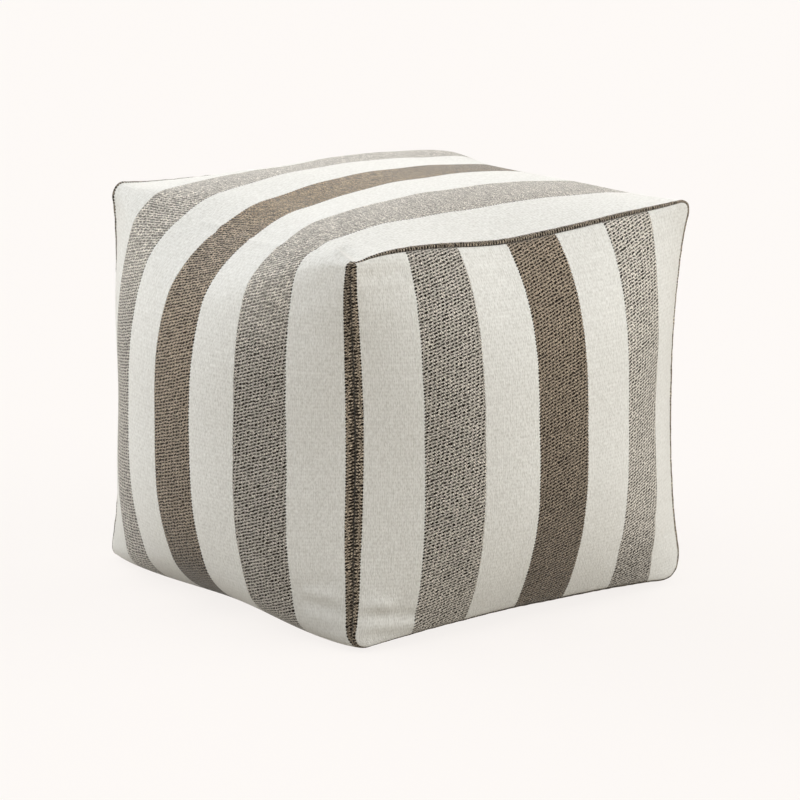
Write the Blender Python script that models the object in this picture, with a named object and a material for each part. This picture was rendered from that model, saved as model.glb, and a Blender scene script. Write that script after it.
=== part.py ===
"""Cube pouf stool, in metres, +Z up, standing on z = 0 with its base centred on the origin.

One long band of striped cloth goes up the left side, over the top, down the right side and under
the base. It holds the filling. Two end panels close its open sides, at -Y and +Y. A well filled
pouf has no flat side: its faces stand out, its seams are drawn in, and its corners stick out.

Every surface here comes from one shape, outer_point, which bends a cube into the pouf. A point of
the cube has across, along and up between -1 and 1. The end panels lie at along = -1 and 1.
"""

from collections import namedtuple

import bpy
import numpy as np

# The cube that the pouf would be if nothing stood out: corner to centre.
HALF_WIDTH = 0.223
HALF_DEPTH = 0.217
HALF_HEIGHT = 0.206

# How far the middle of each face stands out, as a share of the half size.
SIDE_BULGE = 0.28
END_BULGE = 0.31
CROWN = 0.10
# How quickly a bulge dies away towards the edges. 2 is a parabola, and more is flatter.
FULLNESS = 2.7
# The base is pressed flat by the floor at this share of the half height.
FLOOR = 0.99

# How far the middle of each kind of edge is drawn in, as a share of the half size. Minus is out.
Edge = namedtuple("Edge", "width depth height")
UPRIGHT_SEAM = Edge(0.065, 0.040, 0.0)
TOP_SEAM = Edge(0.0, -0.030, 0.030)
BOTTOM_SEAM = Edge(0.0, -0.115, 0.095)
TOP_FOLD = Edge(-0.015, 0.0, 0.030)
BOTTOM_FOLD = Edge(-0.080, 0.0, 0.0)

# The corners that were filled or sewn unevenly: which corner, and how far it is moved.
Corner = namedtuple("Corner", "across along up move_x move_y move_z")
CORNERS = (
    Corner(-1, -1, 1, 0.000, 0.003, -0.002),
    Corner(1, -1, 1, 0.006, 0.000, 0.003),
    Corner(-1, 1, 1, 0.011, -0.003, 0.005),
    Corner(1, -1, -1, 0.004, 0.000, 0.000),
    Corner(-1, -1, -1, 0.000, 0.000, 0.002),
)
# How near a corner a point must be to move with it: more is nearer.
CORNER_REACH = 3

# Corner radius of the band's section, as a share of the half size, at a seam and halfway along.
TOP_RADIUS_AT_SEAM = 0.09
TOP_RADIUS_IN_MIDDLE = 0.38
BOTTOM_RADIUS_AT_SEAM = 0.12
BOTTOM_RADIUS_IN_MIDDLE = 0.28
# How late the corners open out, going away from a seam: more is later.
ROUNDING = 2

# The cloth, and the gap between two pieces that touch.
CLOTH = 0.002
GAP = 0.0003

# The groove along a seam, where the cloth turns in: where it starts and a point on the way down,
# both as a share of the half size from the seam, and how deep it is at that point and at the seam.
SHOULDER = 0.026
SHOULDER_MIDDLE = 0.012
SHOULDER_SINK = 0.0007
SEAM_SINK = CLOTH + GAP

# How many steps the meshes take.
SIDE_STEPS = 13
CORNER_STEPS = 6
BAND_STEPS = 24
PANEL_STEPS = 8

# Colour, roughness and metallic of each piece: the cloth's stripes mixed together.
BAND_FINISH = ((0.52, 0.49, 0.45, 1.0), 0.9, 0.0)
PANEL_FINISH = ((0.47, 0.43, 0.38, 1.0), 0.9, 0.0)


def outer_point(across, along, up):
    """The pouf's surface over the points of the cube, as an array with x, y and z in its last axis."""
    near_side = np.abs(across) ** FULLNESS
    near_end = np.abs(along) ** FULLNESS
    near_top = np.abs(up) ** FULLNESS
    top = up > 0
    seam_depth = np.where(top, TOP_SEAM.depth, BOTTOM_SEAM.depth)
    seam_height = np.where(top, TOP_SEAM.height, BOTTOM_SEAM.height)
    fold_width = np.where(top, TOP_FOLD.width, BOTTOM_FOLD.width)
    fold_height = np.where(top, TOP_FOLD.height, BOTTOM_FOLD.height)
    crown = np.where(top, CROWN, 0.0)

    on_side = (1 - near_end) * (1 - near_top)
    on_end = (1 - near_side) * (1 - near_top)
    on_top = (1 - near_side) * (1 - near_end)
    on_upright_x = (1 - near_top) * near_end
    on_upright_y = (1 - near_top) * near_side
    on_fold = (1 - near_end) * near_top
    on_seam = (1 - near_side) * near_top
    width = 1 + SIDE_BULGE * on_side - UPRIGHT_SEAM.width * on_upright_x - fold_width * on_fold
    depth = 1 + END_BULGE * on_end - UPRIGHT_SEAM.depth * on_upright_y - seam_depth * on_seam
    height = (
        1
        + crown * on_top
        - seam_height * (1 - near_side) * near_end
        - fold_height * (1 - near_end) * near_side
    )
    x = HALF_WIDTH * across * width
    y = HALF_DEPTH * along * depth
    z = HALF_HEIGHT * up * height
    for corner in CORNERS:
        nearness = (1 + corner.across * across) * (1 + corner.along * along) * (1 + corner.up * up)
        share = (nearness / 8) ** CORNER_REACH
        x = x + share * corner.move_x
        y = y + share * corner.move_y
        z = z + share * corner.move_z
    floor = -FLOOR * HALF_HEIGHT
    z = np.maximum(z, floor) - floor
    return np.stack([x, y, z], axis=-1)


def arc(centre_x, centre_z, radius, from_degrees):
    """A quarter turn, anticlockwise seen from the front, without its last point."""
    angles = np.radians(from_degrees + np.arange(CORNER_STEPS) * 90 / CORNER_STEPS)
    return np.stack([centre_x + radius * np.cos(angles), centre_z + radius * np.sin(angles)], axis=-1)


def side(start, end):
    """A straight run between two points, without its last point."""
    share = (np.arange(SIDE_STEPS) / SIDE_STEPS)[:, None]
    return np.array(start) * (1 - share) + np.array(end) * share


def section(top_radius, bottom_radius):
    """The band's section in the cube: a square with round corners, as across and up."""
    high = 1 - top_radius
    low = 1 - bottom_radius
    return np.concatenate(
        [
            side((-low, -1), (low, -1)),
            arc(low, -low, bottom_radius, -90),
            side((1, -low), (1, high)),
            arc(high, high, top_radius, 0),
            side((high, 1), (-high, 1)),
            arc(-high, high, top_radius, 90),
            side((-1, high), (-1, -low)),
            arc(-low, -low, bottom_radius, 180),
        ]
    )


def band_ring(along):
    """The band's ring of points at one place along its width."""
    opened = (1 - along**2) ** ROUNDING
    top = TOP_RADIUS_AT_SEAM + (TOP_RADIUS_IN_MIDDLE - TOP_RADIUS_AT_SEAM) * opened
    bottom = BOTTOM_RADIUS_AT_SEAM + (BOTTOM_RADIUS_IN_MIDDLE - BOTTOM_RADIUS_AT_SEAM) * opened
    across, up = section(top, bottom).T
    return outer_point(across, np.full_like(across, along), up)


def panel_ring(along, scale):
    """A ring of an end panel: the seam's ring drawn towards the panel's middle."""
    across, up = scale * section(TOP_RADIUS_AT_SEAM, BOTTOM_RADIUS_AT_SEAM).T
    return outer_point(across, np.full_like(across, along), up)


def ring_size(ring):
    return np.linalg.norm(ring - ring.mean(axis=0), axis=1).mean()


def face_rings(rings, pole_low, pole_high):
    """The points, rings first, and the triangles that join the rings in order and close both ends.

    A square between two rings is split from the smaller ring's point to the next point of the
    larger one, so two surfaces that lie one under the other are split alike and never meet.
    """
    count = len(rings[0])
    first_pole = len(rings) * count
    last = first_pole - count
    sizes = [ring_size(ring) for ring in rings]
    faces = []
    for step in range(count):
        following = (step + 1) % count
        faces.append((first_pole, step, following))
        for row in range(len(rings) - 1):
            low = row * count
            high = low + count
            if sizes[row] < sizes[row + 1]:
                faces.append((low + step, high + step, high + following))
                faces.append((low + step, high + following, low + following))
            else:
                faces.append((low + step, high + step, low + following))
                faces.append((high + step, high + following, low + following))
        faces.append((first_pole + 1, last + following, last + step))
    points = np.concatenate([*rings, [pole_low], [pole_high]])
    return points, faces


def make_piece(name, points, faces, finish):
    mesh = bpy.data.meshes.new(name)
    mesh.from_pydata([tuple(point) for point in points], [], faces)
    mesh.shade_smooth()
    mesh.update()
    piece = bpy.data.objects.new(name, mesh)
    bpy.context.scene.collection.objects.link(piece)
    colour, roughness, metallic = finish
    material = bpy.data.materials.new(name)
    material.use_nodes = True
    shader = material.node_tree.nodes["Principled BSDF"]
    shader.inputs["Base Color"].default_value = colour
    shader.inputs["Roughness"].default_value = roughness
    shader.inputs["Metallic"].default_value = metallic
    mesh.materials.append(material)
    return piece


def outward_normals(points, faces):
    """The surface's outward direction at each point, from a mesh of the whole pouf."""
    mesh = bpy.data.meshes.new("whole pouf")
    mesh.from_pydata([tuple(point) for point in points], [], faces)
    mesh.update()
    normals = np.array([vertex.normal[:] for vertex in mesh.vertices])
    bpy.data.meshes.remove(mesh)
    return normals


def whole_pouf():
    """Rings from the middle of the front panel to the middle of the back one, and what each ring is."""
    panel_scales = [step / PANEL_STEPS * (1 - SHOULDER) for step in range(1, PANEL_STEPS + 1)]
    panel_scales.append(1 - SHOULDER_MIDDLE)
    band_places = list(np.sin(np.linspace(-1, 1, BAND_STEPS + 1) * np.pi / 2) * (1 - SHOULDER))
    band_places.insert(0, -1 + SHOULDER_MIDDLE)
    band_places.append(1 - SHOULDER_MIDDLE)
    rings = [panel_ring(-1, scale) for scale in panel_scales]
    rings += [band_ring(along) for along in (-1, *band_places, 1)]
    rings += [panel_ring(1, scale) for scale in reversed(panel_scales)]
    kinds = ["panel"] * PANEL_STEPS + ["panel shoulder", "seam", "band shoulder"]
    kinds += ["band"] * (BAND_STEPS + 1)
    kinds += ["band shoulder", "seam", "panel shoulder"] + ["panel"] * PANEL_STEPS
    return rings, kinds


def make_pouf():
    """The filled band and the two end panels, all from the rings of the whole pouf."""
    rings, kinds = whole_pouf()
    centre = np.zeros(1)
    pole_front = outer_point(centre, centre - 1, centre)[0]
    pole_back = outer_point(centre, centre + 1, centre)[0]
    points, faces = face_rings(rings, pole_front, pole_back)
    normals = outward_normals(points, faces)
    shape = (len(rings), len(rings[0]), 3)
    ring_normals = normals[:-2].reshape(shape)
    pole_normals = normals[-2:]

    # The filled band: its own surface, a groove at each seam, and a recess for each end panel.
    sink = {
        "panel": CLOTH + GAP,
        "panel shoulder": CLOTH + GAP + SHOULDER_SINK,
        "seam": SEAM_SINK,
        "band shoulder": SHOULDER_SINK,
        "band": 0.0,
    }
    body = [ring - sink[kind] * normal for ring, kind, normal in zip(rings, kinds, ring_normals)]
    front_pole, back_pole = np.array([pole_front, pole_back]) - sink["panel"] * pole_normals
    make_piece("filled_band", *face_rings(body, front_pole, back_pole), BAND_FINISH)

    # Each end panel: an outer and an inner face that meet in a thin rim in the seam.
    seam_rings = [row for row, kind in enumerate(kinds) if kind == "seam"]
    for name, seam, step, pole, pole_normal in (
        ("end_panel_front", seam_rings[0], -1, pole_front, pole_normals[0]),
        ("end_panel_back", seam_rings[1], 1, pole_back, pole_normals[1]),
    ):
        rows = range(seam + step, seam + step * (PANEL_STEPS + 2), step)
        outer = []
        inner = []
        for row in rows:
            rolled = SHOULDER_SINK if kinds[row] == "panel shoulder" else 0.0
            outer.append(rings[row] - rolled * ring_normals[row])
            inner.append(rings[row] - (rolled + CLOTH) * ring_normals[row])
        towards_middle = rings[rows[0]] - rings[seam]
        towards_middle /= np.linalg.norm(towards_middle, axis=1)[:, None]
        rim = rings[seam] - (SEAM_SINK - GAP) * ring_normals[seam] + GAP * towards_middle
        order = [*reversed(outer), rim, *inner]
        inner_pole = pole - CLOTH * pole_normal
        points, faces = face_rings(order, pole, inner_pole)
        if step > 0:
            faces = [tuple(reversed(face)) for face in faces]
        make_piece(name, points, faces, PANEL_FINISH)


def clear_scene():
    for item in list(bpy.data.objects):
        bpy.data.objects.remove(item)


clear_scene()
make_pouf()
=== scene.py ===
# %% [markdown]
# # A cube pouf in striped cloth
#
# The stool is a well filled cube of cloth. One long striped band goes up the left side, over the
# top, down the right side and back under the base. Two square end panels are sewn into its open
# sides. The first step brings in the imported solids, whose place and size the cloth has to match.
# The cloth is then made as three new meshes that stand in for them, piece by piece.

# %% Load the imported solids
import math

import bpy
import numpy as np
from mathutils import Matrix, Vector
from mathutils.kdtree import KDTree


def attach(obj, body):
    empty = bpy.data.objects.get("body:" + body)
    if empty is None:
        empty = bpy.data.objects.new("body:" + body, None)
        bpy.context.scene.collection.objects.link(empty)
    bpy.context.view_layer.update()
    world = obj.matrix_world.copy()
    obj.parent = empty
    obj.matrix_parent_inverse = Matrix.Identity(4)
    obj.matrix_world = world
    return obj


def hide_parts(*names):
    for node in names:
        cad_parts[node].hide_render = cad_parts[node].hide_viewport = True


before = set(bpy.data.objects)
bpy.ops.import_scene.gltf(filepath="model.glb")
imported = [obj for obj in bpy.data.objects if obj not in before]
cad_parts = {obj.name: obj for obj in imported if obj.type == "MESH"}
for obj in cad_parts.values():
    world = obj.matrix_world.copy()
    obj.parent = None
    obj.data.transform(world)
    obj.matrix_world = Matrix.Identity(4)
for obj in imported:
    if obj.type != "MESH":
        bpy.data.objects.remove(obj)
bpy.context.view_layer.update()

bpy.ops.object.select_all(action="DESELECT")
print("solids:", sorted(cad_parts))

# %% [markdown]
# ## Where the camera stands
#
# The stool is seen from a little above, with one upright corner seam towards the viewer. The lens
# is long and far away, which keeps the upright edges nearly parallel. The camera's place is given
# as two angles and a distance from the middle of the stool, because these are the numbers that
# one can measure in a picture: how much each face narrows, and how far the edges close in.

# %% Place the camera
CAMERA_TURN = math.radians(37.6044)
CAMERA_RISE = math.radians(13.7652)
CAMERA_DISTANCE = 4.29244
CAMERA_AIM = Vector((0.0, 0.0, 0.20394))
CAMERA_SHIFT_RIGHT = 0.00728
CAMERA_SHIFT_UP = -0.01586
LENS = 181.7

back = Vector(
    (
        -math.sin(CAMERA_TURN) * math.cos(CAMERA_RISE),
        -math.cos(CAMERA_TURN) * math.cos(CAMERA_RISE),
        math.sin(CAMERA_RISE),
    )
)
right = Vector((math.cos(CAMERA_TURN), -math.sin(CAMERA_TURN), 0.0))
up = back.cross(right)
camera = bpy.data.objects.new("camera", bpy.data.cameras.new("camera"))
camera.data.lens = LENS
camera.location = (
    CAMERA_AIM + CAMERA_DISTANCE * back + CAMERA_SHIFT_RIGHT * right + CAMERA_SHIFT_UP * up
)
camera.rotation_euler = Matrix((right, up, back)).transposed().to_euler()
bpy.context.scene.collection.objects.link(camera)
bpy.context.scene.camera = camera
print("camera at", [round(x, 3) for x in camera.location], "lens", LENS, "mm")

# %% [markdown]
# ## The shape of a stuffed cube
#
# A stuffed cube has no flat side. Its faces stand out, its edges are drawn in between the corners,
# and the corners stick out a little. All of that is one formula here: it takes a point of a cube,
# with each coordinate from -1 to 1, and returns the point of the pouf. The same formula made the
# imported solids, so nearly everywhere the cloth lies within a few millimetres of them.

# %% Bend a cube into the pouf
HALF = np.array([0.223, 0.217, 0.206])
SIDE_BULGE = 0.28
END_BULGE = 0.31
CROWN = 0.10
FULLNESS = 2.7
FLOOR = 0.99
# How far the middle of an edge is drawn in along x, y and z, as a share of the half size.
UPRIGHT_SEAM = (0.065, 0.040)
TOP_SEAM = (-0.030, 0.030)
BOTTOM_SEAM = (-0.115, 0.095)
TOP_FOLD = (-0.015, 0.030)
BOTTOM_FOLD = (-0.080, 0.0)
# Corners that were filled unevenly: which corner, and how far it is moved in metres. The move
# dies away with this power of the nearness to the corner.
CORNER_POWER = 3
CORNERS = (
    ((-1, -1, 1), (0.000, 0.003, -0.002)),
    ((1, -1, 1), (0.006, 0.000, 0.003)),
    ((-1, 1, 1), (0.011, -0.003, 0.005)),
    ((1, -1, -1), (0.004, 0.000, 0.000)),
    ((-1, -1, -1), (0.000, 0.000, 0.002)),
)


def stuffed(across, along, up):
    """The point of the pouf for each point of the cube, as an array with x, y, z last."""
    near_side, near_end, near_top = (np.abs(axis) ** FULLNESS for axis in (across, along, up))
    top = up > 0
    seam_depth = np.where(top, TOP_SEAM[0], BOTTOM_SEAM[0])
    seam_height = np.where(top, TOP_SEAM[1], BOTTOM_SEAM[1])
    fold_width = np.where(top, TOP_FOLD[0], BOTTOM_FOLD[0])
    fold_height = np.where(top, TOP_FOLD[1], BOTTOM_FOLD[1])
    width = (
        1
        + SIDE_BULGE * (1 - near_end) * (1 - near_top)
        - UPRIGHT_SEAM[0] * (1 - near_top) * near_end
        - fold_width * (1 - near_end) * near_top
    )
    depth = (
        1
        + END_BULGE * (1 - near_side) * (1 - near_top)
        - UPRIGHT_SEAM[1] * (1 - near_top) * near_side
        - seam_depth * (1 - near_side) * near_top
    )
    height = (
        1
        + np.where(top, CROWN, 0.0) * (1 - near_side) * (1 - near_end)
        - seam_height * (1 - near_side) * near_end
        - fold_height * (1 - near_end) * near_side
    )
    point = np.stack([across * width, along * depth, up * height], axis=-1) * HALF
    for (x, y, z), move in CORNERS:
        share = ((1 + x * across) * (1 + y * along) * (1 + z * up) / 8) ** CORNER_POWER
        point = point + share[..., None] * np.array(move)
    point[..., 2] = np.maximum(point[..., 2], -FLOOR * HALF[2]) + FLOOR * HALF[2]
    return point


face_middles = np.array([[-1, 0, 0], [1, 0, 0], [0, -1, 0], [0, 1, 0], [0, 0, 1]]) * 1.0
reach = np.abs(stuffed(*face_middles.T)).max(axis=0)
print("the faces stand out to", np.round(1000 * reach), "mm")

# %% [markdown]
# ## Where it was filled unevenly
#
# Real filling is never even. The top seam hangs a little between its corners, the top fold is
# softer towards the front, and a corner lifts off the floor. Each of these is one soft push: a
# place, how far it reaches, and how far the cloth there is moved. Pushes act on every piece of the
# cloth alike, so the seams stay closed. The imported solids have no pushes, so where the pushes are
# strong the cloth lies up to 7.5 mm off them.

# %% Push the shape here and there
PUSHES = (
    # place, reach, move: all in metres
    # the upright corner seam in front
    ((-0.223, -0.214, 0.408), 0.025, (0.0025, -0.0015, -0.0050)),
    ((-0.223, -0.214, 0.408), 0.065, (0.0020, -0.0005, -0.0030)),
    ((-0.210, -0.209, 0.112), 0.065, (-0.0010, 0.0005, 0.0005)),
    ((-0.219, -0.215, 0.020), 0.065, (0.0010, -0.0010, 0.0005)),
    # the front end panel
    ((-0.032, -0.244, 0.374), 0.065, (0.0045, 0.0005, -0.0030)),
    ((-0.031, -0.279, 0.120), 0.065, (0.0010, -0.0010, -0.0005)),
    ((-0.033, -0.252, 0.036), 0.065, (0.0025, 0.0010, 0.0010)),
    ((0.136, -0.261, 0.204), 0.065, (-0.0010, 0.0025, 0.0000)),
    # the top seam, from its left end to its right end
    ((-0.134, -0.220, 0.404), 0.065, (0.0000, -0.0015, 0.0025)),
    ((-0.044, -0.223, 0.404), 0.065, (0.0010, 0.0010, -0.0030)),
    ((0.046, -0.223, 0.404), 0.065, (0.0010, 0.0010, -0.0020)),
    ((0.137, -0.222, 0.407), 0.065, (0.0000, 0.0000, 0.0015)),
    # the top
    ((-0.135, -0.132, 0.419), 0.065, (0.0000, -0.0005, 0.0025)),
    ((-0.045, -0.134, 0.423), 0.065, (0.0000, 0.0000, 0.0025)),
    ((0.046, -0.134, 0.424), 0.065, (0.0000, -0.0005, 0.0025)),
    ((-0.135, -0.044, 0.424), 0.065, (0.0005, 0.0000, -0.0045)),
    ((-0.135, 0.044, 0.424), 0.065, (0.0005, 0.0000, -0.0055)),
    # the left side
    ((-0.240, -0.127, 0.374), 0.065, (-0.0035, -0.0005, 0.0015)),
    ((-0.266, -0.125, 0.204), 0.065, (0.0040, 0.0015, -0.0005)),
    ((-0.255, 0.146, 0.204), 0.065, (0.0025, -0.0010, 0.0000)),
    ((-0.206, 0.208, 0.299), 0.065, (-0.0040, 0.0000, 0.0000)),
    ((-0.251, -0.043, 0.019), 0.065, (0.0020, 0.0000, 0.0010)),
    # the far edge of the top, which stands up a little, and its corner, which sags
    ((0.172, 0.145, 0.416), 0.055, (0.0000, 0.0000, 0.0055)),
    ((0.110, 0.070, 0.427), 0.050, (0.0000, 0.0000, -0.0022)),
    ((0.060, 0.150, 0.421), 0.050, (0.0000, 0.0000, 0.0030)),
    ((0.215, 0.208, 0.409), 0.070, (0.0000, 0.0000, -0.0085)),
)


def settled(point):
    """The point after all soft pushes."""
    moved = point.copy()
    for place, reach, move in PUSHES:
        far = np.linalg.norm(point - np.array(place), axis=-1)
        moved += np.exp(-((far / reach) ** 2))[..., None] * np.array(move)
    moved[..., 2] = np.maximum(moved[..., 2], 0.0)
    return moved


print(len(PUSHES), "pushes of at most", max(1000 * np.linalg.norm(p[2]) for p in PUSHES), "mm")

# %% [markdown]
# ## The band's rings
#
# The band is a ring of cloth. Seen from the front its section is a square with round corners,
# tight at the seams, where the panels hold it, and wide open halfway between them. Each ring is
# drawn with many points first, and then stepped off again in the same shares of its length, so
# that the weave runs straight across the band.

# %% Draw one ring of the band
CORNER_SIDES = ((1, -1), (1, 1), (-1, 1), (-1, -1))
# Corner radii as a share of the half size: bottom right, top right, top left and bottom left.
SEAM_RADII = {-1: (0.20, 0.085, 0.035, 0.10), 1: (0.14, 0.085, 0.07, 0.12)}
MIDDLE_RADII = np.array([0.28, 0.38, 0.38, 0.28])
FINE_STEPS = 60
FINE_SHARES = 4001
ROUND_STEPS = 520
# Steps crowd together round the corners, which are tight at the seams.
CORNER_SHARES = (0.127, 0.366, 0.630, 0.870)
CROWDING = 1.6
CROWD_REACH = 0.009


def square_with_round_corners(radii):
    """Across and up of a closed line, from the middle of the base anticlockwise."""
    quarter = np.radians(np.arange(FINE_STEPS) * 90 / FINE_STEPS)
    run = (np.arange(FINE_STEPS) / FINE_STEPS)[:, None]
    start = np.array([0.0, -1.0])
    parts = []
    for number, (side, radius) in enumerate(zip(CORNER_SIDES, radii)):
        centre = np.array(side) * (1 - radius)
        angle = quarter + (number - 1) * math.pi / 2
        corner = centre + radius * np.stack([np.cos(angle), np.sin(angle)], axis=-1)
        parts += [start + (corner[0] - start) * run, corner]
        last = number * math.pi / 2
        start = centre + radius * np.array([math.cos(last), math.sin(last)])
    parts.append(start * (1 - run) + np.array([0.0, -1.0]) * run)
    return np.concatenate(parts).T


def step_shares():
    """Where the steps of a ring lie, as shares of its length."""
    share = np.linspace(0, 1, FINE_SHARES)
    crowd = np.ones_like(share)
    for corner in CORNER_SHARES:
        crowd += CROWDING * np.exp(-(((share - corner) / CROWD_REACH) ** 2))
    count = np.concatenate([[0], np.cumsum((crowd[1:] + crowd[:-1]) / 2)])
    return np.interp(np.arange(ROUND_STEPS) / ROUND_STEPS, count / count[-1], share)


STEP_SHARES = step_shares()


def ring(along, scale=1.0):
    """Cube points of one ring, and the ring's length in metres."""
    # The corners open from their tight radii at the seams to the wide ones in the middle.
    opened = (1 - along**2) ** 2
    front, back = np.array(SEAM_RADII[-1]), np.array(SEAM_RADII[1])
    at_seam = (front * (1 - along) + back * (1 + along)) / 2
    across, up = square_with_round_corners(at_seam + (MIDDLE_RADII - at_seam) * opened)
    line = stuffed(across, np.full_like(across, along), up)
    steps = np.linalg.norm(np.roll(line, -1, axis=0) - line, axis=1)
    length = np.concatenate([[0], np.cumsum(steps)])
    wanted = STEP_SHARES * length[-1]
    across = np.interp(wanted, length, np.append(across, across[0]))
    up = np.interp(wanted, length, np.append(up, up[0]))
    return scale * across, np.full_like(across, along), scale * up, length[-1]


seam_across, _, seam_up, seam_length = ring(-1.0)
# A place on the ring is given in turns: 0 is the middle of the base, 1 the middle of the right
# side, 2 the middle of the top, 3 the middle of the left side. Corners are at the halves.
corner_steps = [int(np.argmax(x * seam_across + z * seam_up)) for x, z in CORNER_SIDES]
TURNS = np.interp(STEP_SHARES, [0, *STEP_SHARES[corner_steps], 1], [0, 0.5, 1.5, 2.5, 3.5, 4])
print("the seam is", round(1000 * seam_length), "mm long; corners at", STEP_SHARES[corner_steps])

# %% [markdown]
# ## How the seam looks along its way
#
# On the upright corner in front, two dark edge strips lie side by side and the cloth rolls down
# between them. Along the top the band's strip stands up as a thin lip, and the panel's stripes run
# straight in under it. At the corners the strips all but vanish. The tables give these sizes at a
# few places, and everything between is blended.

# %% Describe the seams
FRONT_SEAM = (
    # turns, the band's strip, the panel's strip, lip, groove of the band, groove of the panel: mm
    (0.00, 7.0, 0.5, 0.3, 3.0, 3.0),
    (0.40, 7.0, 3.0, 0.3, 3.0, 3.0),
    (0.50, 5.0, 5.0, 0.7, 2.5, 2.5),
    (0.58, 5.5, 6.5, 0.9, 3.0, 3.0),
    (1.00, 6.0, 8.5, 1.1, 3.0, 3.0),
    (1.42, 5.5, 6.0, 0.9, 3.0, 3.0),
    (1.50, 4.5, 2.5, 1.2, 2.5, 3.0),
    (1.58, 5.0, 0.0, 1.7, 2.5, 4.0),
    (2.34, 5.0, 0.0, 1.8, 2.5, 4.0),
    (2.44, 2.6, 0.0, 0.8, 2.5, 3.5),
    (2.484, 1.6, 0.0, 0.0, 2.5, 2.5),
    (2.492, 6.0, 0.5, 0.0, 2.8, 2.5),
    (2.504, 7.0, 6.5, 0.0, 3.0, 3.0),
    (2.60, 7.5, 7.0, 0.0, 4.0, 4.0),
    (2.90, 8.5, 9.5, 0.0, 4.0, 4.0),
    (3.20, 8.5, 9.0, 0.0, 4.0, 4.0),
    (3.44, 7.0, 5.5, 0.0, 3.5, 3.5),
    (3.49, 4.0, 3.0, 0.0, 3.0, 3.0),
    (3.54, 6.0, 0.0, 0.0, 2.5, 2.5),
    (4.00, 7.0, 0.5, 0.3, 3.0, 3.0),
)
BACK_SEAM = (
    (0.00, 4.0, 0.0, 0.0, 3.0, 3.0),
    (0.50, 2.5, 2.0, 0.3, 2.5, 2.5),
    (1.00, 8.0, 8.0, 0.3, 3.5, 3.5),
    (1.42, 6.0, 6.0, 0.3, 3.5, 3.5),
    (1.50, 2.5, 1.0, 0.5, 2.5, 3.0),
    (1.58, 5.0, 0.0, 0.6, 2.5, 4.0),
    (1.80, 5.0, 0.0, 0.6, 2.5, 4.0),
    (2.05, 5.0, 0.0, 1.5, 2.5, 4.0),
    (2.38, 5.0, 0.0, 1.5, 2.5, 4.0),
    (2.46, 5.0, 3.0, 2.6, 2.2, 2.5),
    (2.52, 5.0, 3.0, 2.4, 2.2, 2.5),
    (2.60, 6.5, 4.0, 2.1, 2.5, 3.0),
    (2.90, 6.5, 8.0, 1.8, 3.0, 3.5),
    (3.40, 5.5, 4.0, 1.4, 3.0, 3.5),
    (3.50, 3.5, 1.0, 0.9, 2.5, 2.5),
    (4.00, 4.0, 0.0, 0.0, 3.0, 3.0),
)
SEAMS = {-1: np.array(FRONT_SEAM), 1: np.array(BACK_SEAM)}
BAND_STRIP, PANEL_STRIP, LIP, BAND_GROOVE, PANEL_GROOVE = range(1, 6)
ROLL_REACH = 0.009
LIP_PLACE = 0.0028
LIP_WIDTH = 0.0022
# Waves for each turn round a seam, and what their sum seldom passes.
WAVES = (17, 29, 46, 61, 88, 103, 131)
WAVE_PEAK = 4


def seam_size(end, turns, column):
    """One column of a seam's table at these places, in metres."""
    return np.interp(turns, SEAMS[end][:, 0], SEAMS[end][:, column]) / 1000


def rolled(distance):
    """From 1 at the seam to 0 where the cloth has come up out of it, as a quarter circle."""
    left = np.clip(1 - distance / ROLL_REACH, 0, 1)
    return 1 - np.sqrt(1 - left**2)


def uneven(share, seed):
    """Small irregular waves along a seam, about from -1 to 1, which meet where it closes."""
    random = np.random.default_rng(seed)
    total = np.zeros_like(share)
    for waves in WAVES:
        total += np.sin(2 * math.pi * (waves * share + random.random())) * random.uniform(0.5, 1)
    return total / WAVE_PEAK


grooves = seam_size(-1, np.arange(4), BAND_GROOVE)
print("the band's groove in front is", np.round(1000 * grooves, 1), "mm deep")
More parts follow.
